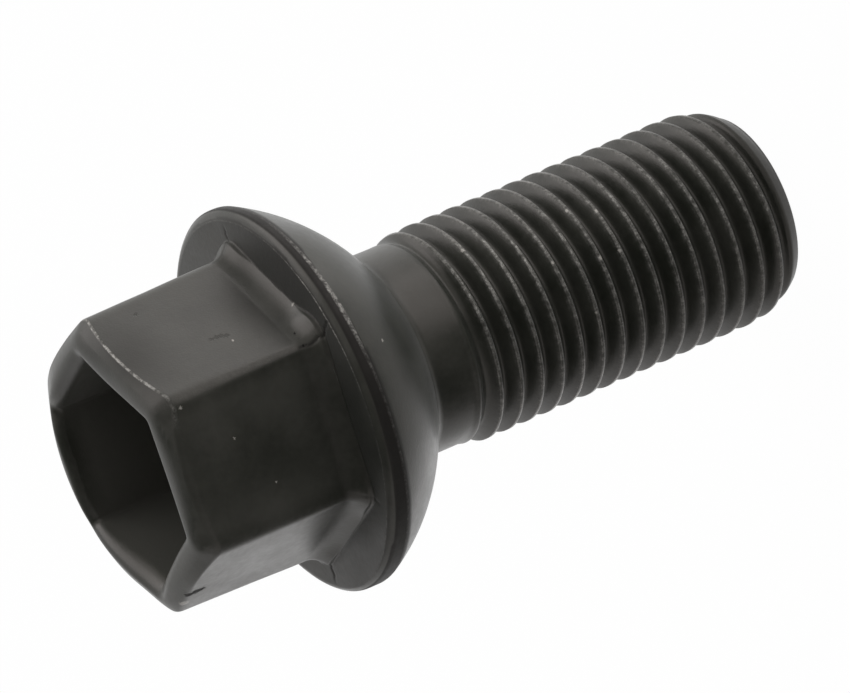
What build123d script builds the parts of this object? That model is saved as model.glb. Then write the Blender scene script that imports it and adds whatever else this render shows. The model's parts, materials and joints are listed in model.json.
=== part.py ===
from build123d import *
import os
from math import acos, atan2, degrees, radians, sin, sqrt, tan

# Wheel bolt, forged and rolled as one piece of steel.
# Millimetres. It stands on its flat tip at z = 0, with +Z up the bolt's axis to the open end of the head.

# Shank
thread_d = 14.0  # major diameter of the fine metric thread
thread_length = 24.0  # flat tip to the end of the full thread
tip_d = 11.8  # flat face of the tip
tip_length = 2.0  # lead-in cone of the tip
runout_length = 0.7  # cone where the thread fades into the neck
neck_d = 13.2  # plain neck, as thick as the blank before rolling
shank_length = 27.4  # flat tip to the corner of neck and ball seat

# Ball seat and flange
seat_radius = 14.0  # ball that the seat is part of
seat_height = 6.04  # along the axis, from the neck's corner to the rim
neck_fillet = 0.8  # hollow between neck and seat
rim_height = 1.1  # along the axis, from the seat's edge to the flange's top
rim_round = 0.5  # rounding of the rim's upper edge
flange_slope = 2.0  # degrees, the flange's top rises to the hexagon

# Hexagon
hex_flats = 17.0  # across flats, at the foot
hex_corner = 0.75  # rounding of the six edges
hex_draft = 0.9  # degrees, each flat leans in towards the end
head_height = 11.8  # flange's top at the rim to the end of the head
end_ring_d = 14.4  # outside of the level ring round the recess's mouth
end_bevel = 27.0  # degrees, cone of the end from that ring to the corners
flare_width = 0.75  # how far the foot of each flat flares out
flare_radius = 1.7  # hollow of the flare
ledge_height = 0.3  # crisp step between the flare and the flange

# Recess in the end of the head
head_wall = 2.2  # between a flat of the hexagon and a flat of the recess
mouth_width = 0.45  # bevel of the recess's mouth, across
mouth_depth = 0.6  # and along the axis
recess_draft = 0.8  # degrees, each wall leans in towards the floor
recess_depth = 10.8  # end of the head to the edge of the floor
floor_drop = 1.2  # hollow cone of the floor

# Heights and radii that follow from the sizes above
thread_r = thread_d / 2
tip_r = tip_d / 2
neck_r = neck_d / 2
ball_z = shank_length + sqrt(seat_radius**2 - neck_r**2)
seat_edge_z = shank_length + seat_height
flange_r = sqrt(seat_radius**2 - (ball_z - seat_edge_z) ** 2)
flange_z = seat_edge_z + rim_height
head_z = flange_z + head_height
flare_turn = acos(1 - flare_width / flare_radius)
flare_drop = flare_radius * sin(flare_turn)
flare_root = hex_corner / 2  # how far the flare's section reaches into the hexagon
ledge_z = flange_z + ledge_height
foot_z = ledge_z + flare_drop
end_ring_r = end_ring_d / 2


def hexagon(flats, z):
    """Level hexagon with a corner on +X."""
    return Pos(0, 0, z) * RegularPolygon(flats / 2, 6, major_radius=False)


def turned_body():
    """Shank, ball seat and flange: half a section turned about the axis."""
    fillet_r = neck_r + neck_fillet
    fillet_z = ball_z - sqrt((seat_radius + neck_fillet) ** 2 - fillet_r**2)
    steep = degrees(atan2(ball_z - fillet_z, fillet_r))
    flat = degrees(atan2(ball_z - seat_edge_z, flange_r))
    round_r = flange_r - rim_round
    crown_z = flange_z + round_r * tan(radians(flange_slope))
    with BuildPart() as body:
        with BuildSketch(Plane.XZ):
            with BuildLine():
                thread = Polyline((0, 0), (tip_r, 0), (thread_r, tip_length), (thread_r, thread_length))
                Polyline(thread @ 1, (neck_r, thread_length + runout_length), (neck_r, fillet_z))
                CenterArc((fillet_r, fillet_z), neck_fillet, 180, -steep)
                seat = CenterArc((0, ball_z), seat_radius, -steep, steep - flat)
                Line(seat @ 1, (flange_r, flange_z - rim_round))
                edge = CenterArc((round_r, flange_z - rim_round), rim_round, 0, 90)
                Polyline(edge @ 1, (0, crown_z), (0, 0))
            make_face()
        revolve(axis=Axis.Z)
    return body.part


def hex_block():
    """Drafted hexagon from its foot to the end of the head, its six edges rounded alike all the way up."""
    sharp = extrude(hexagon(hex_flats, foot_z), head_z - foot_z, taper=hex_draft)
    level = sharp.edges().group_by(Axis.Z)[0] + sharp.edges().group_by(Axis.Z)[-1]
    return fillet(sharp.edges() - level, hex_corner)


def hex_head(block):
    """The hexagon with a cone for its end, and a core inside the flare down to the flange."""
    stem = extrude(hexagon(hex_flats - flare_root, flange_z), foot_z - flange_z)
    reach = hex_flats
    end_drop = (reach - end_ring_r) * tan(radians(end_bevel))
    with BuildPart() as end:
        with BuildSketch(Plane.XZ):
            with BuildLine():
                cone = Line((reach, head_z - end_drop), (end_ring_r, head_z))
                Polyline(cone @ 1, (0, head_z), (0, 0), (reach, 0), cone @ 0)
            make_face()
        revolve(axis=Axis.Z)
    return (block & end.part) + stem


def flare(foot):
    """Hollow flare round the foot of the hexagon: one section swept along the foot's outline."""
    path = foot.outer_wire()
    outward = (path % 0).cross(Vector(0, 0, 1))
    bottom = foot_z - flange_z
    with BuildSketch(Plane(path @ 0, x_dir=outward, z_dir=path % 0)) as section:
        with BuildLine():
            hollow = CenterArc((flare_radius, 0), flare_radius, 180, -degrees(flare_turn))
            Polyline(hollow @ 1, (flare_width, bottom), (-flare_root, bottom), (-flare_root, 0), hollow @ 0)
        make_face()
    return sweep(section.sketch, path)


def recess():
    """Room inside the head: bevelled mouth, drafted walls and a shallow cone for a floor."""
    flats = hex_flats - 2 * head_wall
    mouth_z = head_z - mouth_depth
    floor_z = head_z - recess_depth
    floor_flats = flats - 2 * (mouth_z - floor_z) * tan(radians(recess_draft))
    above = hexagon(flats + 4 * mouth_width, head_z + mouth_depth)
    mouth = loft([hexagon(flats, mouth_z), above], ruled=True)
    walls = loft([hexagon(floor_flats, floor_z), hexagon(flats, mouth_z)], ruled=True)
    floor = Pos(0, 0, floor_z - floor_drop / 2) * Cone(0, floor_flats / 2, floor_drop)
    return mouth + walls + floor


block = hex_block()
foot = block.faces().sort_by(Axis.Z)[0]
wheel_bolt = turned_body() + hex_head(block) + flare(foot) - recess()

os.makedirs("parts", exist_ok=True)
export_step(wheel_bolt, "parts/wheel_bolt.step")
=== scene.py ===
import json
import math

import bmesh
import bpy
import numpy as np
from mathutils import Matrix, Vector


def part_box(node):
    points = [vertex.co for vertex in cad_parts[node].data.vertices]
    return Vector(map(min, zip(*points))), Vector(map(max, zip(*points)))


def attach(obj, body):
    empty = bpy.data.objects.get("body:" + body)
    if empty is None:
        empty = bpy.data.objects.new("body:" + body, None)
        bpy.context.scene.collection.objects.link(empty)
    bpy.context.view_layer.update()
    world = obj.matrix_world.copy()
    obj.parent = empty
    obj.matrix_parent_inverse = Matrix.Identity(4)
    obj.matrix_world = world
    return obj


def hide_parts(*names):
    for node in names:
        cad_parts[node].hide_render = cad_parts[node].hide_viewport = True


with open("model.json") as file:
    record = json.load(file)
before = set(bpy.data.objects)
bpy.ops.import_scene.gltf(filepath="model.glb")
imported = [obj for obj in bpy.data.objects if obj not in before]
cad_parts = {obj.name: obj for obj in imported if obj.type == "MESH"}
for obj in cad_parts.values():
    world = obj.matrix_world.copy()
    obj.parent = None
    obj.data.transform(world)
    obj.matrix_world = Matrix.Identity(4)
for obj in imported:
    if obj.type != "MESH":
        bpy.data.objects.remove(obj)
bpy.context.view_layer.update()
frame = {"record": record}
mm = 0.001

# Millimetres and degrees, heights from the flat tip. A value in brackets is the one for all round,
# and then turn, width and how much more there, for each side that differs.
boltShape = {
    "columns": 216,  # round the axis
    "crowding": 0.7,  # how far the columns gather at the six corners
    "recessFlats": 12.7,
    "recessDepth": 10.8,
    "recessDraft": 0.8,
    "recessCorner": 0.3,
    "recessTurn": 1.5,  # the punch sits a little turned against the hexagon
    "recessShift": 0.35,  # and off the axis
    "shiftTurn": 120.0,  # towards this side
    "floorDrop": 1.2,  # hollow cone of the floor
    "floorStrip": 0.1,  # between the cone and the nearest wall
    "floorEase": 0.1,  # rounding of the cone's edge
    "wallEase": 0.3,  # and of the walls' foot
    "poleR": 0.5,  # innermost ring of the floor
    "poleShare": 0.92,  # of the drop, at that ring
    "mouthRound": (0.5, (25, 55, 0.5), (90, 40, 0.15), (165, 60, 0.56)),  # rounding of the recess's mouth
    "mouthRows": 9,
    "endLand": 0.35,  # least width of the end outside the mouth
    "endTilt": 0.235,  # the end is a little out of square, higher on one side
    "endTurn": 75.0,
    "endRows": (0.08, 0.16, 0.24, 0.32, 0.4, 0.48, 0.56, 0.64, 1.0),  # from the mouth to the end's edge
    "endCrown": 2.2,  # larger falls later
    "planeSide": (285, 150, 1.6),  # here the mouth's corners stay in the tilted plane: turn, width, steepness
    "ringR": 7.6,  # where the end begins to fall to the flats and corners
    "ringSoftness": 0.2,
    "endBevel": 27.0,
    "endRound": (0.13, (268, 42, 0.4), (188, 28, 0.35)),  # rounding of the end's edge
    "endWear": 0.9,
    "endWorn": (331, 44, 2.0),  # where the edge has that wear: turn, width, steepness
    "cornerLift": 0.2,  # one corner of the end is struck higher
    "liftTurn": (183, 24),
    "liftOver": 1.2,  # how far outside the ring
    "hexFlats": 17.12,  # at the foot
    "hexCorner": 0.75,
    "endCorner": 1.2,  # the same edges at the end, more worn
    "hexDraft": 0.9,
    "headHeight": 11.8,
    "flareWidth": 0.75,
    "flareRadius": 1.7,
    "flareRows": 11,
    "ledgeHeight": 0.06,  # step between flare and flange, along a flat
    "cornerStep": 0.24,  # and how much more at the corners
    "stepFrom": 9.4,  # distance from the axis where it begins to grow
    "stepOver": 0.8,
    "ledgeEase": 0.07,  # rounding of the step
    "ledgeLean": 0.08,
    "ledgeFoot": 0.13,  # and of the corner under it
    "lobe": 0.3,  # metal pushed out beside one corner
    "lobeTurn": (307, 9),
    "flangeSlope": 2.0,
    "rimHeight": 1.1,
    "rimRound": 0.5,  # height of the rim's rounded upper edge
    "rimWidth": (0.62, (200, 50, -0.32)),  # and how far it reaches in, to a crisp line
    "rimTurn": 52.0,  # slope of the rounding at that line
    "rimRows": 7,
    "rimEase": 0.08,  # rounding of that line
    "rimWear": (0.12, (308, 32, 0.7)),  # of that line and of the seat's edge
    "seatRound": (0.13, (308, 35, 0.1)),  # rounding of the seat's edge
    "seatRadius": 14.0,
    "seatRows": 17,
    "seatSkew": 0.25,  # the seat is a little out of true, so the rim is lower on one side
    "seatTurn": 345.0,
    "neckR": 6.6,
    "neckFillet": 0.8,
    "filletRows": 6,
    "shankLength": 27.4,
    "tipR": 5.9,
    "tipLength": 2.5,
    "tipEase": 0.1,
    "tipWear": 0.4,
}

sixth = math.pi / 6  # from a corner of a hexagon to the middle of a flat
low, high = (np.array(corner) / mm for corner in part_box("wheel_bolt"))
headZ, flangeR = high[2], np.abs([low[:2], high[:2]]).min()
flangeZ = headZ - boltShape["headHeight"]
threadR = next(m for m in frame["record"]["mounts"] if m["name"] == "thread")["dims"]["r_mm"]
spread = np.linspace(0, 2 * math.pi, boltShape["columns"], endpoint=False)
turn = spread - boltShape["crowding"] * np.sin(6 * spread) / 6  # columns gather at the corners


def fromCorner(angle):
    # angle from the nearest corner of the hexagon, less than a sixth either way
    return (angle + sixth) % (2 * sixth) - sixth


def hexReach(angle, half, corner):
    # rounded hexagon, corner on +X: flat's distance over the cosine of the angle from its middle,
    # and near a corner the far side of the circle that touches both flats
    away = np.abs(fromCorner(angle))
    fromMiddle = sixth - away
    centre = (half - corner) / math.cos(sixth)
    edge = np.arctan((half - corner) * math.tan(sixth) / half)
    bend = np.maximum(corner**2 - (centre * np.sin(away)) ** 2, 0)
    arc = centre * np.cos(away) + np.sqrt(bend)
    return np.where(fromMiddle > edge, arc, half / np.cos(fromMiddle))


def smoothStep(share):
    # three times the square less twice the cube, held between 0 and 1
    share = np.clip(share, 0, 1)
    return share * share * (3 - 2 * share)


def waves(place, size, seed):
    # smooth unevenness between -1 and 1: sines along fixed directions, added and evened out
    ways = 10
    draw = np.random.default_rng(seed)
    way = draw.normal(size=(ways, 3)) * 2 / size
    return np.sin(place @ way.T + draw.uniform(0, 2 * math.pi, ways)).sum(-1) / (ways / 2)


def nearTurn(centre, width, steepness=1.0):
    # 1 at an angle round the axis, falling to 0 over the width, in degrees; steeper ones keep to 1 for longer
    away = np.abs((np.degrees(turn) - centre + 180) % 360 - 180)
    return np.minimum(steepness * smoothStep(1 - away / width), 1)


def around(value):
    # the value for all round, and so much more near each turn that follows it
    base, *sides = value
    return base + sum(more * nearTurn(centre, width) for centre, width, more in sides)


def inSpace(reach, height):
    # cosine and sine of the turn, times the distance from the axis, and the height
    return np.stack([reach * np.cos(turn), reach * np.sin(turn), height], -1)


def ringAt(reach, height, ease=0.0, wear=0.0, rows=3, fill=0):
    # one turn of the outline, with its rounding, its wear and the straight rows that follow it
    place = np.stack([reach + 0 * turn, height + 0 * turn])
    return {"place": place, "ease": ease, "wear": wear, "rows": rows, "fill": fill}


def joinRings(rings):
    # a ring with an easing becomes a quadratic curve that starts and ends the easing's length along its
    # two sides, with a guard row outside each end; straight rows fill the rest
    mostShare, guard = 0.45, 1.2  # of a side that a curve may take, and where the guard lies in easings
    blocks = []
    for here, before, after in zip(rings, rings[:1] + rings[:-1], rings[1:] + rings[-1:]):
        middle = here["place"]
        if np.all(here["ease"] == 0):
            blocks.append(np.concatenate([middle, 0 * middle[:1] + here["wear"]])[None])
            continue
        sides = [other["place"] - middle for other in (before, after)]
        lengths = [np.maximum(np.hypot(*side), 1e-6) for side in sides]
        shares = [np.minimum(here["ease"] / length, mostShare) for length in lengths]
        start, end = (middle + side * share for side, share in zip(sides, shares))
        outer, inner = (middle + side * share * guard for side, share in zip(sides, shares))
        step = np.linspace(0, 1, here["rows"])[:, None, None]
        curve = (1 - step) ** 2 * start + 2 * step * (1 - step) * middle + step**2 * end
        worn = here["wear"] * 4 * step * (1 - step) * (1 + 0 * middle[:1])
        curve = np.concatenate([curve, worn], 1)
        guards = [np.concatenate([row, 0 * row[:1]])[None] for row in (outer, inner)]
        blocks.append(np.concatenate([guards[0], curve, guards[1]]))
    rows = []
    for ring, block, following in zip(rings, blocks, blocks[1:] + [None]):
        rows.append(block)
        if following is not None and ring["fill"]:
            step = np.linspace(0, 1, ring["fill"] + 2)[1:-1, None, None]
            rows.append((1 - step) * block[-1] + step * following[0])
    return np.concatenate(rows)


def headRings(s):
    # outline of the head and neck as rings round the axis, from the recess's floor over the end to the thread
    rad = math.radians
    footHalf = s["hexFlats"] / 2
    flareTurn = math.acos(1 - s["flareWidth"] / s["flareRadius"])
    footZ = flangeZ + s["ledgeHeight"] + s["cornerStep"] + s["flareRadius"] * math.sin(flareTurn)
    endHalf = footHalf - (headZ - footZ) * math.tan(rad(s["hexDraft"]))
    endReach = hexReach(turn, endHalf, s["endCorner"])
    recessHalf = s["recessFlats"] / 2
    floorZ = headZ - s["recessDepth"]
    floorHalf = recessHalf - s["recessDepth"] * math.tan(rad(s["recessDraft"]))
    aside = s["recessShift"] * np.array([math.cos(rad(s["shiftTurn"])), math.sin(rad(s["shiftTurn"]))])

    def recessAt(half, corner):
        # turned hexagon about a centre off the axis: reach from the axis, mended until it is on the outline
        reach = half + 0 * turn
        for _ in range(8):
            x, y = reach * np.cos(turn) - aside[0], reach * np.sin(turn) - aside[1]
            angle = np.arctan2(y, x) - rad(s["recessTurn"])
            reach = reach + hexReach(angle, half, corner) - np.hypot(x, y)
        return reach

    def mouthAt(out):
        # recess's outline, so much wider, and inside the end's edge
        return np.minimum(recessAt(recessHalf + out, s["recessCorner"] + out), endReach - s["endLand"])

    levelZ = headZ - s["endTilt"] * (1 - np.cos(turn - rad(s["endTurn"])))

    def endAt(reach):
        # height of the end: a tilted plane inside the ring, a cone outside it, eased over the softness
        past = reach - s["ringR"]
        fall = (past + np.hypot(past, s["ringSoftness"])) / 2 * math.tan(rad(s["endBevel"]))
        return levelZ - fall + s["cornerLift"] * nearTurn(*s["liftTurn"]) * smoothStep(past / s["liftOver"])

    # recess, its floor first
    rings = [
        ringAt(s["poleR"], floorZ - s["poleShare"] * s["floorDrop"], fill=4),
        ringAt(floorHalf - s["recessShift"] - s["floorStrip"], floorZ, ease=s["floorEase"], fill=1),
        ringAt(recessAt(floorHalf, s["recessCorner"]), floorZ, ease=s["wallEase"], rows=4, fill=7),
    ]
    mouth = around(s["mouthRound"])
    crestReach = mouthAt(mouth)
    inPlane = nearTurn(*s["planeSide"])
    crestZ = inPlane * levelZ + (1 - inPlane) * endAt(crestReach)
    for q in np.linspace(0, math.pi / 2, s["mouthRows"]):
        rings.append(ringAt(mouthAt(mouth * (1 - math.cos(q))), crestZ - mouth * (1 - math.sin(q))))

    # end, and the hexagon down to its flare
    for k in s["endRows"]:
        reach = (1 - k) * crestReach + k * endReach
        crowned = levelZ + (endAt(endReach) - levelZ) * k ** s["endCrown"]
        rings.append(ringAt(reach, inPlane * crowned + (1 - inPlane) * endAt(reach)))
    wornEdge = s["endWear"] * nearTurn(*s["endWorn"])
    rings[-1].update(ease=around(s["endRound"]), rows=9, wear=wornEdge, fill=14)

    # flare, ledge and the flange's top
    rimWidth = around(s["rimWidth"])
    roundR = flangeR - rimWidth
    lobe = s["lobe"] * nearTurn(*s["lobeTurn"])
    ledgeReach = hexReach(turn, footHalf + s["flareWidth"], s["hexCorner"] + s["flareWidth"]) + lobe
    topZ = flangeZ + (roundR - ledgeReach) * math.tan(rad(s["flangeSlope"]))
    cornerStep = s["cornerStep"] * smoothStep((ledgeReach - s["stepFrom"]) / s["stepOver"])
    ledgeZ = topZ + s["ledgeHeight"] + cornerStep
    sweep = np.linspace(0, flareTurn, s["flareRows"] + 1)[:-1]
    out = s["flareRadius"] * (1 - np.cos(sweep))
    fallen = np.sin(sweep) / math.sin(flareTurn)
    rings += [
        ringAt(hexReach(turn, footHalf + o, s["hexCorner"] + o) + lobe * f**2, footZ - (footZ - ledgeZ) * f)
        for o, f in zip(out, fallen)
    ]
    rimWear = around(s["rimWear"])
    rings += [
        ringAt(ledgeReach, ledgeZ, ease=s["ledgeEase"], rows=5),
        ringAt(ledgeReach + s["ledgeLean"], topZ, ease=s["ledgeFoot"], rows=4, fill=9),
        ringAt(roundR, flangeZ, ease=s["rimEase"], rows=4, wear=rimWear),
    ]

    # rim
    bow = np.linspace(rad(s["rimTurn"]), 0, s["rimRows"] + 1)[1:]
    inward = rimWidth * ((1 - np.cos(bow)) / (1 - math.cos(rad(s["rimTurn"]))))[:, None]
    fallen = s["rimRound"] * (1 - np.sin(bow) / math.sin(rad(s["rimTurn"])))
    rings += [ringAt(flangeR - i, flangeZ - f) for i, f in zip(inward, fallen)]

    # ball seat, hollow and neck
    ballZ = s["shankLength"] + math.sqrt(s["seatRadius"] ** 2 - s["neckR"] ** 2)
    seatEdgeZ = flangeZ - s["rimHeight"]
    filletR = s["neckR"] + s["neckFillet"]
    filletZ = ballZ - math.sqrt((s["seatRadius"] + s["neckFillet"]) ** 2 - filletR**2)
    steep = math.atan2(ballZ - filletZ, filletR)
    shallow = math.atan2(ballZ - seatEdgeZ, flangeR)
    skew = s["seatSkew"] * np.cos(turn - rad(s["seatTurn"]))
    rings.append(ringAt(flangeR, seatEdgeZ + skew, ease=around(s["seatRound"]), rows=5, wear=rimWear))
    for a in np.linspace(shallow, steep, s["seatRows"] + 1)[1:]:
        skewed = skew * (steep - a) / (steep - shallow)
        rings.append(ringAt(s["seatRadius"] * math.cos(a), ballZ - s["seatRadius"] * math.sin(a) + skewed))
    for a in np.linspace(math.pi - steep, math.pi, s["filletRows"] + 1)[1:]:
        rings.append(ringAt(filletR + s["neckFillet"] * math.cos(a), filletZ + s["neckFillet"] * math.sin(a)))
    rings[-1]["fill"] = 6
    rings.append(ringAt(s["neckR"], threadShape["top"]))
    return rings


threadShape = {
    "pitch": 1.5,
    "top": 24.8,  # where the run-out ends in the neck
    "runOut": 1.9,
    "start": 20.45,  # height of a crest on +X
    "crestHalf": 0.075,  # flat of the crest, half, in pitches
    "headFlank": 31.0,  # flanks against a level plane, degrees
    "tipFlank": 27.0,
    "rootDepth": 0.93,
    "rootSoftness": 22.0,  # larger is sharper
    "coneCurve": 1.6,  # the lead-in cone is a little crowned
    "coneSoftness": 9.0,  # larger is sharper
    "bottom": 0.22,  # where the lead-in cone is below every groove
    "wear": (0.27, (300, 60, 0.16)),  # of the crests
    "wearDepth": 0.05,  # how far down it reaches
    "wearPast": 0.5,  # and how far outside the cone a crest may lie
    "stations": (  # rows in a pitch, from a crest towards the tip
        -0.073, 0.0, 0.073, 0.086, 0.15, 0.23, 0.31, 0.38, 0.44, 0.5, 0.56, 0.64, 0.73, 0.83, 0.914,
    ),
}


def threadRows(t, s):
    # helical rows: each keeps its place in the pitch while its height rises one pitch a turn, held between
    # top and bottom. Distance from the axis: crest less a sloping flank, with a soft root, faded into the
    # neck, and cut by the tip's cone
    turns = math.ceil((t["top"] - t["bottom"]) / t["pitch"]) + 2
    phase = (np.arange(turns)[:, None] + np.array(t["stations"])).ravel()[:, None]
    lead = math.ceil((t["top"] - t["start"]) / t["pitch"])
    height = t["start"] + t["pitch"] * (lead + 1 + turn / (2 * math.pi) - phase)
    height = np.clip(height, t["bottom"], t["top"])
    place = (t["start"] - height) / t["pitch"] + turn / (2 * math.pi)
    away = place - np.round(place)
    slope = np.radians(np.where(away > 0, t["tipFlank"], t["headFlank"]))
    flank = (np.abs(away) - t["crestHalf"]) * t["pitch"] / np.tan(slope)
    soft = t["rootSoftness"]
    depth = -np.log(np.exp(-soft * flank) + math.exp(-soft * t["rootDepth"])) / soft
    depth = np.maximum(depth, 0)
    fade = smoothStep((t["top"] - height) / t["runOut"])
    reach = s["neckR"] + (threadR - depth - s["neckR"]) * fade
    up = 1 - np.clip(1 - height / s["tipLength"], 0, 1) ** t["coneCurve"]
    cone = s["tipR"] + (threadR - s["tipR"]) * up + np.maximum(height - s["tipLength"], 0)
    onCrest = np.clip(1 - depth / t["wearDepth"], 0, 1) * (reach < cone + t["wearPast"])
    wear = around(t["wear"]) * onCrest * fade
    sharp = t["coneSoftness"]
    both = np.exp(-sharp * (reach - threadR)) + np.exp(-sharp * (cone - threadR))
    reach = threadR - np.log(both) / sharp
    return np.stack([np.minimum(reach, threadR), height, wear], 1)


def gridFaces(index):
    # quads of a grid of vertex numbers, facing outwards where rows run down and columns run anticlockwise
    return np.stack([index[:-1, :-1], index[1:, :-1], index[1:, 1:], index[:-1, 1:]], -1).reshape(-1, 4)


def closeTurn(index):
    # the first column once more, after the last
    return np.concatenate([index, index[:, :1]], 1)


def boltFaces(headRows, helixRows, tipRows):
    # head and tip close on themselves, the helix on the row one pitch up, and fans close floor and tip
    columns = len(turn)
    number = np.arange((headRows + helixRows + tipRows) * columns).reshape(-1, columns)
    head, helix, tip = np.split(number, [headRows, headRows + helixRows])
    pitchUp = np.maximum(np.arange(helixRows) - len(threadShape["stations"]), 0)
    helix = np.concatenate([helix, helix[pitchUp, :1]], 1)
    quads = np.concatenate([gridFaces(closeTurn(head)), gridFaces(helix), gridFaces(closeTurn(tip))])
    first, last = number[0], number[-1]
    floorFan = np.stack([np.full(columns, number.size), first, np.roll(first, -1)], -1)
    tipFan = np.stack([last, np.full(columns, number.size + 1), np.roll(last, -1)], -1)
    return quads.tolist() + floorFan.tolist() + tipFan.tolist()


boltSkin = {  # forging, rubbing and painted light and shade, in the shape's units
    "foldDepth": 0.09,  # forging folds out from the hexagon's corners
    "foldWidth": 0.08,
    "folds": (0.45, 0.5, 0.4, 0.7, 0.35, 1.0),  # strength by corner, counted from +X, of the hollow and of its painted shade
    "foldFrom": 9.0,  # distance from the axis where they begin
    "foldGrow": 0.5,
    "foldEnd": 0.6,  # and from the rim where they end
    "foldEndVaries": 0.5,
    "foldFade": 0.9,
    "foldBand": (0.7, 0.95),  # middle of the heights they are at, above the flange's rim, and half of them
    "foldWander": ((0.16, 2.1, 2.3), (0.05, 9.0, 1.0), (0.03, 21.0, 0.0)),  # size, rate, shift by corner
    "unevenness": 0.012,  # of forged faces
    "forgedFrom": 0.3,  # above the thread's run-out
    "forgedR": 6.0,
    "roughWaves": ((3.2, 4, 1.0), (1.4, 5, 0.6)),  # length, seed and share
    "topWaves": (2.2, 6),  # of the flange's top
    "topShare": 1.5,
    "topBand": 0.5,
    "rimMargin": 0.3,
    "flareTop": 1.7,  # above this the flats are plain
    "edgeWear": 0.03,  # of the hexagon's edges
    "edgeWidth": 0.02,  # radians
    "edgeR": 8.8,
    "flatR": 8.2,
    "recessLightFrom": 0.4,  # painted light: the recess is painted paler from this far below the end
    "recessLightOver": 0.8,
    "bandWidth": 0.1,  # painted dark reflection: the rim's smooth band is painted darker
    "topTouch": 0.05,  # what counts as the flange's top
    # painted shade on the flange's top, darker still beside the hexagon on one side
    "topShade": (0.3, (322, 60, 0.5)),
    "upperTurn": (330, 33),  # painted shade: one flat is painted darker at its two ends
    "upperShade": 0.45,
    "upperUnshaded": (40.6, 1.2, 3.0),  # height of its middle, half its length, and over what the shade grows
    "frontTurn": (270, 31, 6.0),  # painted light: another flat is painted paler, more towards its edges: turn, width, steepness
    "frontLight": (0.43, (270, 34, -0.35)),
    "frontRise": (0.9, 1.8),  # where that begins above the flange, and over what it grows
    # painted light: the thread's grooves are painted paler where they lie in shade
    "grooveLight": 0.15,
    "grooveTop": 1.0,  # below the run-out
}


def forgeSkin(k, reach, height):
    # folds are bell-shaped hollows along wandering lines from the corners; smooth waves move forged faces
    # out and in, and the flange's top up and down
    corner = np.round(turn / (2 * sixth)).astype(int) % 6
    along = reach - k["foldFrom"]
    wander = sum(size * np.sin(rate * along + shift * corner) for size, rate, shift in k["foldWander"])
    across = reach * fromCorner(turn) + wander
    middle, half = k["foldBand"]
    onHead = np.abs(height - flangeZ - middle) < half
    toEnd = flangeR - k["foldEnd"] - reach + k["foldEndVaries"] * np.sin(3.0 * corner)
    length = smoothStep(along / k["foldGrow"]) * smoothStep(toEnd / k["foldFade"])
    fold = np.exp(-(across / k["foldWidth"]) ** 2) * length * onHead * np.array(k["folds"])[corner]
    height = height - k["foldDepth"] * fold
    place = inSpace(reach, height)
    forged = (height > threadShape["top"] + k["forgedFrom"]) * (reach > k["forgedR"])
    rough = sum(share * waves(place, size, seed) for size, seed, share in k["roughWaves"])
    reach = reach + k["unevenness"] * rough * forged
    onTop = (np.abs(height - flangeZ) < k["topBand"]) & (reach < flangeR - k["rimMargin"])
    height = height + k["topShare"] * k["unevenness"] * waves(place, *k["topWaves"]) * onTop
    return reach, height, fold


def rubSkin(k, s, reach, height, wear, fold):
    # tone: painted light and shade; 1 is painted light, as in the recess, -1 painted shade, as on the rim's
    # band and in the folds
    # tone: 1 is dusty, as in the recess, -1 rubbed dark, as on the rim's band and in the folds
    onFlats = (height > flangeZ + k["flareTop"]) * (reach > k["flatR"])
    onEdge = np.exp(-(fromCorner(turn) / k["edgeWidth"]) ** 2) * onFlats * (reach > k["edgeR"])
    wear = np.maximum(wear, k["edgeWear"] * onEdge)
    beforeCrest = np.arange(len(reach))[:, None] < np.argmax(height.mean(1))
    # painted light: paler inside the recess, standing in for light that reaches into it
    inside = beforeCrest * smoothStep((headZ - k["recessLightFrom"] - height) / k["recessLightOver"])
    # painted dark reflection on the rim's outer band
    band = (reach > flangeR - k["bandWidth"]) * 1.0
    rise = (flangeR - s["rimWidth"][0] - reach) * math.tan(math.radians(s["flangeSlope"]))
    onFlange = (np.abs(height - flangeZ - rise) < k["topTouch"]) & (reach < flangeR - k["rimMargin"])
    # painted shade: one flat darker towards its two ends, away from its middle
    unshadedZ, unshadedHalf, shadeOver = k["upperUnshaded"]
    ends = smoothStep((np.abs(height - unshadedZ) - unshadedHalf) / shadeOver)
    upper = k["upperShade"] * onFlats * nearTurn(*k["upperTurn"]) * ends
    # painted shade: the flange's top and the ends of one flat
    shaded = onFlange * around(k["topShade"]) + upper
    frontZ, frontOver = k["frontRise"]
    # painted light: one flat painted paler, more towards its edges
    onFront = smoothStep((height - flangeZ - frontZ) / frontOver) * (reach > k["flatR"])
    paled = onFront * nearTurn(*k["frontTurn"]) * around(k["frontLight"])
    # painted light in the thread's grooves, paler the deeper they are
    onThread = (height < threadShape["top"] - k["grooveTop"]) * (height > s["tipLength"])
    groove = np.clip(threadR - reach, 0, 1) * onThread
    # tone: painted light above 0, painted shade below; the folds are painted darker, as painted shade in the
    # creases
    return wear, inside - band - fold - shaded + paled + k["grooveLight"] * groove


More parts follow.
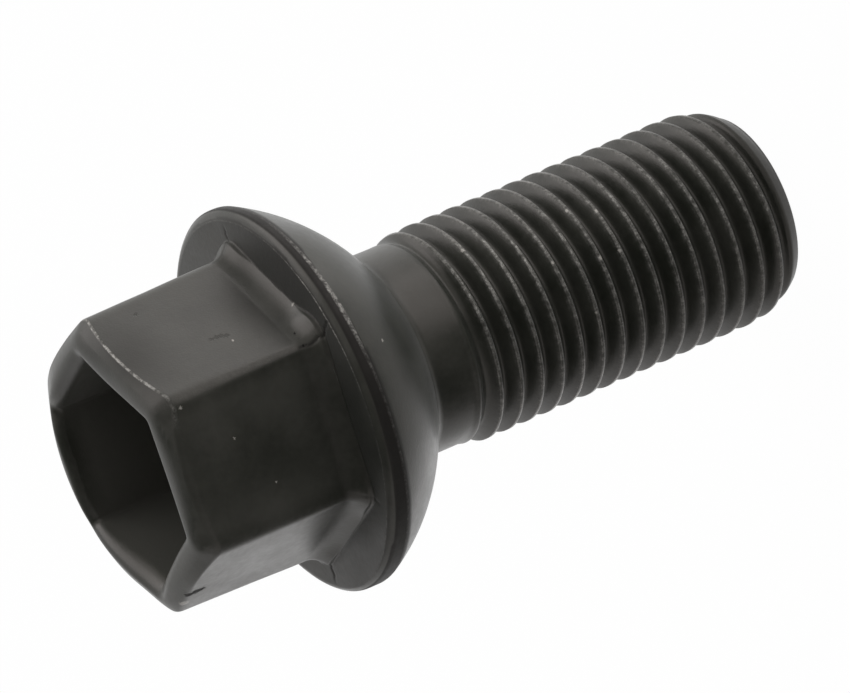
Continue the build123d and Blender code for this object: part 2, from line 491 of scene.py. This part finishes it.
def makeBolt(s):
    # closed rows of the head, helical rows of the thread and the tip's flat, joined into one skin
    head = joinRings(headRings(s))
    helix = threadRows(threadShape, s)
    tip = joinRings([
        ringAt(helix[-1, 0], threadShape["bottom"]),
        ringAt(s["tipR"], 0.0, ease=s["tipEase"], wear=s["tipWear"], rows=3, fill=3),
        ringAt(0.1 * s["tipR"], 0.0),
    ])
    rows = np.concatenate([head, helix, tip])
    reach, height, fold = forgeSkin(boltSkin, rows[:, 0], rows[:, 1])
    wear, tone = rubSkin(boltSkin, s, reach, height, rows[:, 2], fold)
    place = inSpace(np.minimum(reach, flangeR), np.clip(height, 0, headZ)).reshape(-1, 3)
    poles = [[0, 0, headZ - s["recessDepth"] - s["floorDrop"]], [0, 0, 0]]
    place = np.concatenate([place, poles]) * mm
    mesh = bpy.data.meshes.new("wheelBolt")
    mesh.from_pydata(place.tolist(), [], boltFaces(len(head), len(helix), len(tip)))
    for name, values, ends in (("wear", wear, [0, 0]), ("tone", tone, [1, 0])):
        kept = mesh.attributes.new(name, "FLOAT", "POINT")
        kept.data.foreach_set("value", np.concatenate([values.ravel(), ends]).astype(np.float32))
    skin = bmesh.new()
    skin.from_mesh(mesh)
    bmesh.ops.remove_doubles(skin, verts=skin.verts, dist=2e-7)
    bmesh.ops.dissolve_degenerate(skin, edges=skin.edges, dist=1e-8)
    skin.to_mesh(mesh)
    skin.free()
    mesh.polygons.foreach_set("use_smooth", np.ones(len(mesh.polygons), bool))
    mesh.update()
    bolt = bpy.data.objects.new("wheelBolt", mesh)
    bpy.context.scene.collection.objects.link(bolt)
    return bolt


coatFinish = {
    "dark": (0.0145, 0.0165, 0.0118, 1),
    "pale": (0.045, 0.045, 0.038, 1),
    "paintedLightPale": (0.08, 0.078, 0.068, 1),  # painted light: the recess, the thread's grooves and one flat
    "paintedShadeAndPitDark": (0.005, 0.005, 0.004, 1),  # painted shade and dark reflection: the rim's band, the folds, the flange's top and one flat's ends; also the pits' own dark
    "steel": (0.5, 0.48, 0.45, 1),
    "chipped": (0.34, 0.32, 0.29, 1),
    "gloss": 0.32,  # specular level
    "glossTint": (1.0, 0.9, 0.87, 1),
    "bloom": 0.12,  # pale haze at glancing angles
    "bloomRoughness": 0.4,
    "blotch": (260.0, 4.0),  # noises: scale per metre, and detail
    "speckle": (2600.0, 3.0),
    "grain": (8000.0, 2.0),
    "blotchPales": (0.35, 0.7, 0.0, 0.8),  # ranges: a noise from and to, and what it becomes
    "specklePales": (0.35, 0.65, -0.05, 0.1),
    "blotchRoughens": (0.3, 0.7, 0.3, 0.4),
    "speckleRoughens": (0.3, 0.7, -0.03, 0.03),
    "shadeRoughness": 0.35,  # how much rougher where the tone is darkest
    "specklePatches": (0.36, 0.64, 0.25, 1.6),  # the wear
    "grainPatches": (0.36, 0.64, 0.4, 1.6),
    "wearBares": (0.0, 1.2, 0.0, 0.55),  # from wear to the share of bare steel
    "grainFrays": (0.3, 0.7, -0.06 * mm, 0.06 * mm),  # the edges of specks
    "bump": 0.2,
    "bumpDepth": 0.03 * mm,
    "chips": (  # bright specks, place and radius in millimetres
        (4.28, -8.41, 44.54, 0.13), (1.26, -8.46, 41.83, 0.095), (-2.19, -8.49, 40.08, 0.08),
        (6.96, -6.47, 34.73, 0.12), (3.82, -10.76, 31.74, 0.13), (6.27, -6.17, 39.05, 0.1),
        (-8.7, -1.74, 45.29, 0.4), (2.23, -6.64, 14.1, 0.17), (2.17, -6.66, 12.72, 0.13),
        (3.04, -6.31, 17.18, 0.12), (5.29, -4.59, 14.38, 0.13), (4.7, -5.19, 12.7, 0.13),
        (5.46, -4.38, 21.85, 0.16), (-0.79, -6.95, 15.61, 0.11),
    ),
    "pits": (  # dark ones
        (-7.97, -2.99, 45.3, 0.36), (-7.9, -3.13, 44.95, 0.45), (-7.91, -3.13, 44.6, 0.34),
        (5.56, -7.77, 35.7, 0.1), (5.2, -8.15, 35.74, 0.09), (4.87, -8.53, 35.77, 0.1),
    ),
    "dents": (  # fainter ones
        (8.92, -1.43, 42.52, 0.16), (6.66, -5.45, 40.02, 0.18), (6.66, -5.47, 39.7, 0.24),
        (6.64, -5.5, 39.4, 0.24), (6.57, -5.64, 39.09, 0.19),
    ),
    "dentShare": 0.3,  # how dark and deep against a pit
    "spotCore": 0.5,  # share of a speck's radius that is whole
    "pitBump": 0.5,
    "pitDepth": 0.1 * mm,
    "pitRoughness": 0.5,  # how much rougher a pit is
}


def coatMaterial(f):
    # black phosphated coat, blotched and grained, with painted light and shade from the tone attribute,
    # rubbed through to steel where the wear attribute is high
    material = bpy.data.materials.new("blackCoat")
    material.use_nodes = True
    nodes, links = material.node_tree.nodes, material.node_tree.links
    shader = nodes["Principled BSDF"]
    coords = nodes.new("ShaderNodeTexCoord")

    def noise(scale, detail):
        # fractal noise on the bolt's own coordinates
        made = nodes.new("ShaderNodeTexNoise")
        made.inputs["Scale"].default_value = scale
        made.inputs["Detail"].default_value = detail
        links.new(coords.outputs["Object"], made.inputs["Vector"])
        return made.outputs["Fac"]

    def kept(name):
        # value painted on the mesh
        made = nodes.new("ShaderNodeAttribute")
        made.attribute_name = name
        return made.outputs["Fac"]

    def ranged(value, low, high, toLow=0.0, toHigh=1.0):
        # straight line from low to high, held at its ends
        made = nodes.new("ShaderNodeMapRange")
        links.new(value, made.inputs["Value"])
        for name, number in zip(("From Min", "From Max", "To Min", "To Max"), (low, high, toLow, toHigh)):
            made.inputs[name].default_value = number
        return made.outputs["Result"]

    def combined(kind, first, second):
        # sum, product or larger of two values
        made = nodes.new("ShaderNodeMath")
        made.operation = kind
        for socket, value in zip(made.inputs, (first, second)):
            if isinstance(value, float):
                socket.default_value = value
            else:
                links.new(value, socket)
        return made.outputs["Value"]

    def mixed(share, first, second):
        # first colour at 0, second at 1
        made = nodes.new("ShaderNodeMix")
        made.data_type = "RGBA"
        links.new(share, made.inputs["Factor"])
        for name, value in (("A", first), ("B", second)):
            socket = next(i for i in made.inputs if i.name == name and i.type == "RGBA")
            if isinstance(value, tuple):
                socket.default_value = value
            else:
                links.new(value, socket)
        return next(o for o in made.outputs if o.type == "RGBA")

    def bumped(height, strength, depth):
        # normals tilted by the slope of a height
        made = nodes.new("ShaderNodeBump")
        made.inputs["Strength"].default_value = strength
        made.inputs["Distance"].default_value = depth
        links.new(height, made.inputs["Height"])
        return made

    blotch, speckle, grain = noise(*f["blotch"]), noise(*f["speckle"]), noise(*f["grain"])
    frayed = ranged(grain, *f["grainFrays"])

    def spots(places):
        # 1 within a radius of any of these places, with a frayed edge
        found = None
        for x, y, z, radius in places:
            gap = nodes.new("ShaderNodeVectorMath")
            gap.operation = "DISTANCE"
            links.new(coords.outputs["Object"], gap.inputs[0])
            gap.inputs[1].default_value = (x * mm, y * mm, z * mm)
            away = combined("ADD", gap.outputs["Value"], frayed)
            spot = ranged(away, radius * mm, f["spotCore"] * radius * mm)
            found = spot if found is None else combined("MAXIMUM", found, spot)
        return found

    chips, dents = spots(f["chips"]), spots(f["dents"])
    pits = combined("MAXIMUM", spots(f["pits"]), combined("MULTIPLY", dents, f["dentShare"]))
    patchy = combined("MULTIPLY", ranged(speckle, *f["specklePatches"]), ranged(grain, *f["grainPatches"]))
    rubbed = ranged(combined("MULTIPLY", kept("wear"), patchy), *f["wearBares"])
    paled = combined("ADD", ranged(blotch, *f["blotchPales"]), ranged(speckle, *f["specklePales"]))
    tint = mixed(paled, f["dark"], f["pale"])
    # painted light and shade from the tone attribute: paler above 0, darker below
    tint = mixed(ranged(kept("tone"), 0.0, 1.0), tint, f["paintedLightPale"])
    tint = mixed(ranged(kept("tone"), 0.0, -1.0), tint, f["paintedShadeAndPitDark"])
    tint = mixed(chips, mixed(pits, tint, f["paintedShadeAndPitDark"]), f["chipped"])
    links.new(mixed(rubbed, tint, f["steel"]), shader.inputs["Base Color"])
    links.new(rubbed, shader.inputs["Metallic"])
    coat = combined("ADD", ranged(blotch, *f["blotchRoughens"]), ranged(speckle, *f["speckleRoughens"]))
    coat = combined("ADD", coat, ranged(kept("tone"), 0.0, -1.0, 0.0, f["shadeRoughness"]))
    rougher = ranged(pits, 0.0, 1.0, 0.0, f["pitRoughness"])
    links.new(combined("ADD", coat, rougher), shader.inputs["Roughness"])
    shader.inputs["Specular IOR Level"].default_value = f["gloss"]
    shader.inputs["Specular Tint"].default_value = f["glossTint"]
    shader.inputs["Sheen Weight"].default_value = f["bloom"]
    shader.inputs["Sheen Roughness"].default_value = f["bloomRoughness"]
    bump = bumped(combined("ADD", grain, speckle), f["bump"], f["bumpDepth"])
    hollow = bumped(pits, f["pitBump"], f["pitDepth"])
    hollow.invert = True
    links.new(bump.outputs["Normal"], hollow.inputs["Normal"])
    links.new(hollow.outputs["Normal"], shader.inputs["Normal"])
    return material


bolt = makeBolt(boltShape)
bolt.data.materials.append(coatMaterial(coatFinish))
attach(bolt, "root")
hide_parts("wheel_bolt")
print("bolt made,", len(bolt.data.polygons), "faces")

floorFinish = {
    "size": 3.0,
    "colour": (0.86, 0.86, 0.86, 1),
    "glow": 0.985,  # share of plain white that camera and reflections see, the rest keeps the shadow
}


def whiteSeen(tree):
    # 1 for camera, glossy and transmission rays
    path = tree.nodes.new("ShaderNodeLightPath")
    found = path.outputs["Is Camera Ray"]
    for name in ("Is Glossy Ray", "Is Transmission Ray"):
        larger = tree.nodes.new("ShaderNodeMath")
        larger.operation = "MAXIMUM"
        tree.links.new(found, larger.inputs[0])
        tree.links.new(path.outputs[name], larger.inputs[1])
        found = larger.outputs["Value"]
    return found


def makeFloor(f):
    # flat square sheet under the tip
    half = f["size"] / 2
    mesh = bpy.data.meshes.new("floor")
    edge = np.array([[-1, -1, 0], [1, -1, 0], [1, 1, 0], [-1, 1, 0]]) * half
    mesh.from_pydata(edge.tolist(), [], [[0, 1, 2, 3]])
    floor = bpy.data.objects.new("floor", mesh)
    bpy.context.scene.collection.objects.link(floor)
    material = bpy.data.materials.new("paleFloor")
    material.use_nodes = True
    tree = material.node_tree
    tree.nodes.clear()
    matte = tree.nodes.new("ShaderNodeBsdfDiffuse")
    matte.inputs["Color"].default_value = f["colour"]
    white = tree.nodes.new("ShaderNodeEmission")
    share = tree.nodes.new("ShaderNodeMath")
    share.operation = "MULTIPLY"
    share.inputs[1].default_value = f["glow"]
    tree.links.new(whiteSeen(tree), share.inputs[0])
    mix = tree.nodes.new("ShaderNodeMixShader")
    tree.links.new(share.outputs["Value"], mix.inputs["Fac"])
    tree.links.new(matte.outputs["BSDF"], mix.inputs[1])
    tree.links.new(white.outputs["Emission"], mix.inputs[2])
    out = tree.nodes.new("ShaderNodeOutputMaterial")
    tree.links.new(mix.outputs["Shader"], out.inputs["Surface"])
    mesh.materials.append(material)
    return floor


makeFloor(floorFinish)

darkCard = {
    "turn": 14.3,  # from the floor below the camera up in front of it and overhead, unseen by it
    "near": (-0.03, 0.02),  # metres from the axis, at its two sides
    "lift": 0.0015,  # above the floor
    "radius": 0.26,
    "overhead": 131.0,  # degrees from the floor
    "bends": 9,
    "sides": (-0.16, 0.008),
    "colour": (0.3, 0.3, 0.3, 1),
}


def makeCard(c):
    # sheet that the near faces mirror: level from near the axis, then an arc about it, carried across
    a = math.radians(c["turn"])
    outward = np.array([math.sin(a), -math.cos(a), 0])
    across = np.array([math.cos(a), math.sin(a), 0])
    bend = np.radians(np.linspace(0, c["overhead"], c["bends"]))
    out = np.concatenate([[c["near"]], np.stack(2 * [c["radius"] * np.cos(bend)], 1)])[..., None]
    up = c["lift"] + np.concatenate([[0], c["radius"] * np.sin(bend)])[:, None, None]
    place = out * outward + up * np.array([0, 0, 1]) + np.array(c["sides"])[None, :, None] * across
    number = np.arange(2 * len(out)).reshape(-1, 2)
    mesh = bpy.data.meshes.new("darkCard")
    mesh.from_pydata(place.reshape(-1, 3).tolist(), [], gridFaces(number).tolist())
    card = bpy.data.objects.new("darkCard", mesh)
    card.visible_camera = False
    bpy.context.scene.collection.objects.link(card)
    material = bpy.data.materials.new("darkCard")
    material.use_nodes = True
    shader = material.node_tree.nodes["Principled BSDF"]
    shader.inputs["Base Color"].default_value = c["colour"]
    shader.inputs["Specular IOR Level"].default_value = 0.0
    mesh.materials.append(material)
    return card


makeCard(darkCard)

studioLight = {
    "surround": 0.5,  # world's strength on the object
    "lamps": {  # place and aim in metres, size in metres, radiance
        "key": ((0.32, 0.23, 0.4), (0, 0, 0.03), 0.4, 2.6),
        "sideBounce": ((0.1, 0.027, 0.002), (0.1, 0.027, 1), 0.09, 1.7),
        "frontBounce": ((0.069, -0.046, 0.002), (0.069, -0.046, 1), 0.09, 1.8),
        "farBounce": ((-0.075, 0.06, 0.002), (-0.075, 0.06, 1), 0.08, 0.42),
        "backBounce": ((0.045, 0.048, 0.002), (0.045, 0.048, 1), 0.05, 0.4),
        "lowBounce": ((-0.029, 0.01, 0.002), (-0.029, 0.01, 1), 0.025, 0.6),
    },
}


def lightScene(s):
    # white world, and square soft lamps: power is radiance times pi times the lamp's area
    world = bpy.data.worlds.new("studio")
    bpy.context.scene.world = world
    world.use_nodes = True
    tree = world.node_tree
    back = tree.nodes["Background"]
    back.inputs["Color"].default_value = (1, 1, 1, 1)
    strength = tree.nodes.new("ShaderNodeMapRange")
    strength.inputs["To Min"].default_value = s["surround"]
    tree.links.new(whiteSeen(tree), strength.inputs["Value"])
    tree.links.new(strength.outputs["Result"], back.inputs["Strength"])
    for name, (place, aim, size, radiance) in s["lamps"].items():
        lamp = bpy.data.lights.new(name, "AREA")
        lamp.size = size
        lamp.energy = radiance * math.pi * size**2
        body = bpy.data.objects.new(name, lamp)
        body.location = place
        body.rotation_euler = (Vector(aim) - Vector(place)).to_track_quat("-Z", "Y").to_euler()
        body.visible_camera = False
        bpy.context.scene.collection.objects.link(body)


lightScene(studioLight)
print("floor and lamps set")

viewPoint = {
    "azimuth": 14.321,  # degrees, from -Y towards +X
    "elevation": 24.607,
    "roll": -113.084,
    "distance": 0.43994,
    "aim": (-0.00028, -0.000053, 0.024119),
    "lens": 302.82,
    "sensor": 36.0,
}


def setCamera(v):
    # stands back from the aim along azimuth and elevation, then rolls about the line of sight
    a, e, roll = (math.radians(v[name]) for name in ("azimuth", "elevation", "roll"))
    back = Vector((math.sin(a) * math.cos(e), -math.cos(a) * math.cos(e), math.sin(e)))
    level = (-back).cross(Vector((0, 0, 1))).normalized()
    right = math.cos(roll) * level + math.sin(roll) * level.cross(-back)
    upward = back.cross(right)
    lens = bpy.data.cameras.new("camera")
    lens.lens, lens.sensor_width = v["lens"], v["sensor"]
    camera = bpy.data.objects.new("camera", lens)
    turned = Matrix((right, upward, back)).transposed().to_4x4()
    camera.matrix_world = Matrix.Translation(Vector(v["aim"]) + back * v["distance"]) @ turned
    bpy.context.scene.collection.objects.link(camera)
    bpy.context.scene.camera = camera


setCamera(viewPoint)
bpy.context.scene.view_settings.view_transform = "Standard"
print("camera set")
